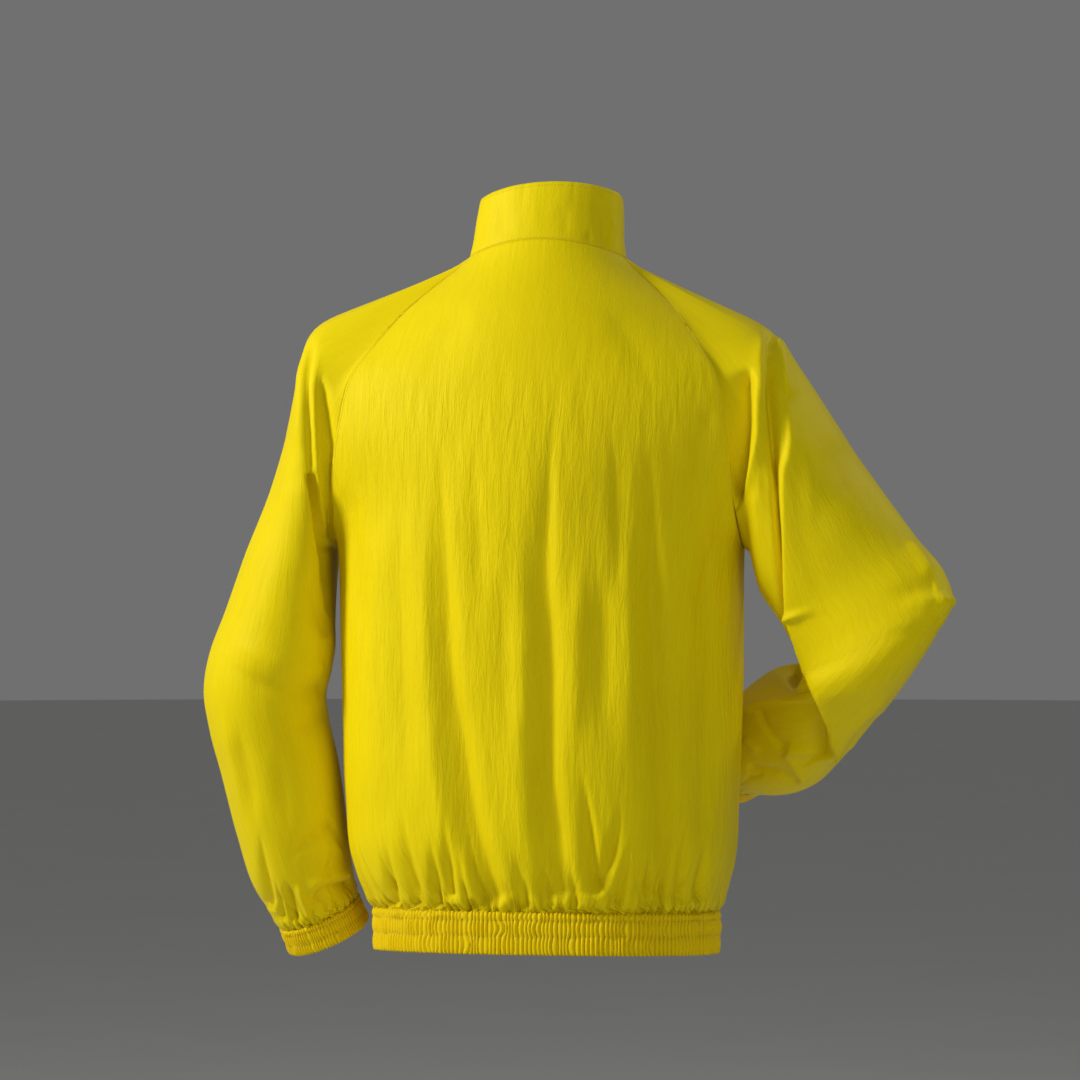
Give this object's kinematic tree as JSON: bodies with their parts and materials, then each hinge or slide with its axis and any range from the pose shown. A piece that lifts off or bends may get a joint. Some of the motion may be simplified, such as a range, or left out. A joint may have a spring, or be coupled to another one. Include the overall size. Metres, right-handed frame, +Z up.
{
  "type": "windbreaker jacket",
  "caption": "Lightweight zip-front raglan windbreaker in worn shape, with a stand collar and gathered hem band and cuffs.",
  "frame": {"origin": "centre of the neck opening, at the height where the shoulder lines meet the neck", "axes": "+Z up along the wearer's back, -Y towards the zip at the wearer's front, +X towards the wearer's left"},
  "size_m": [0.748, 0.334, 0.7741],
  "materials": {
    "shell_cloth": "thin crinkled nylon with a soft sheen",
    "gathered_trim": "nylon gathered over elastic, stitched in rows",
    "zip_tape": "woven tape with a moulded coil",
    "zip_metal": "satin lacquered metal"
  },
  "bodies": {
    "jacket": {"back": "shell_cloth", "front_left": "shell_cloth", "front_right": "shell_cloth", "collar": "shell_cloth", "sleeve_left": "shell_cloth", "sleeve_right": "shell_cloth", "hem_band": "gathered_trim", "cuff_left": "gathered_trim", "cuff_right": "gathered_trim", "zip_tape_left": "zip_tape", "zip_tape_right": "zip_tape", "zip_slider": "zip_metal", "zip_retainer": "zip_metal"},
    "zip_pull": {"zip_pull": "zip_metal"}
  },
  "joints": [
    {"name": "zip_pull_hinge", "type": "hinge", "parent": "jacket", "child": "zip_pull", "pos_m": [-0.00117, -0.08374, 0.00998], "axis": [-1, 0, 0], "range_deg": [0, 150]}
  ]
}
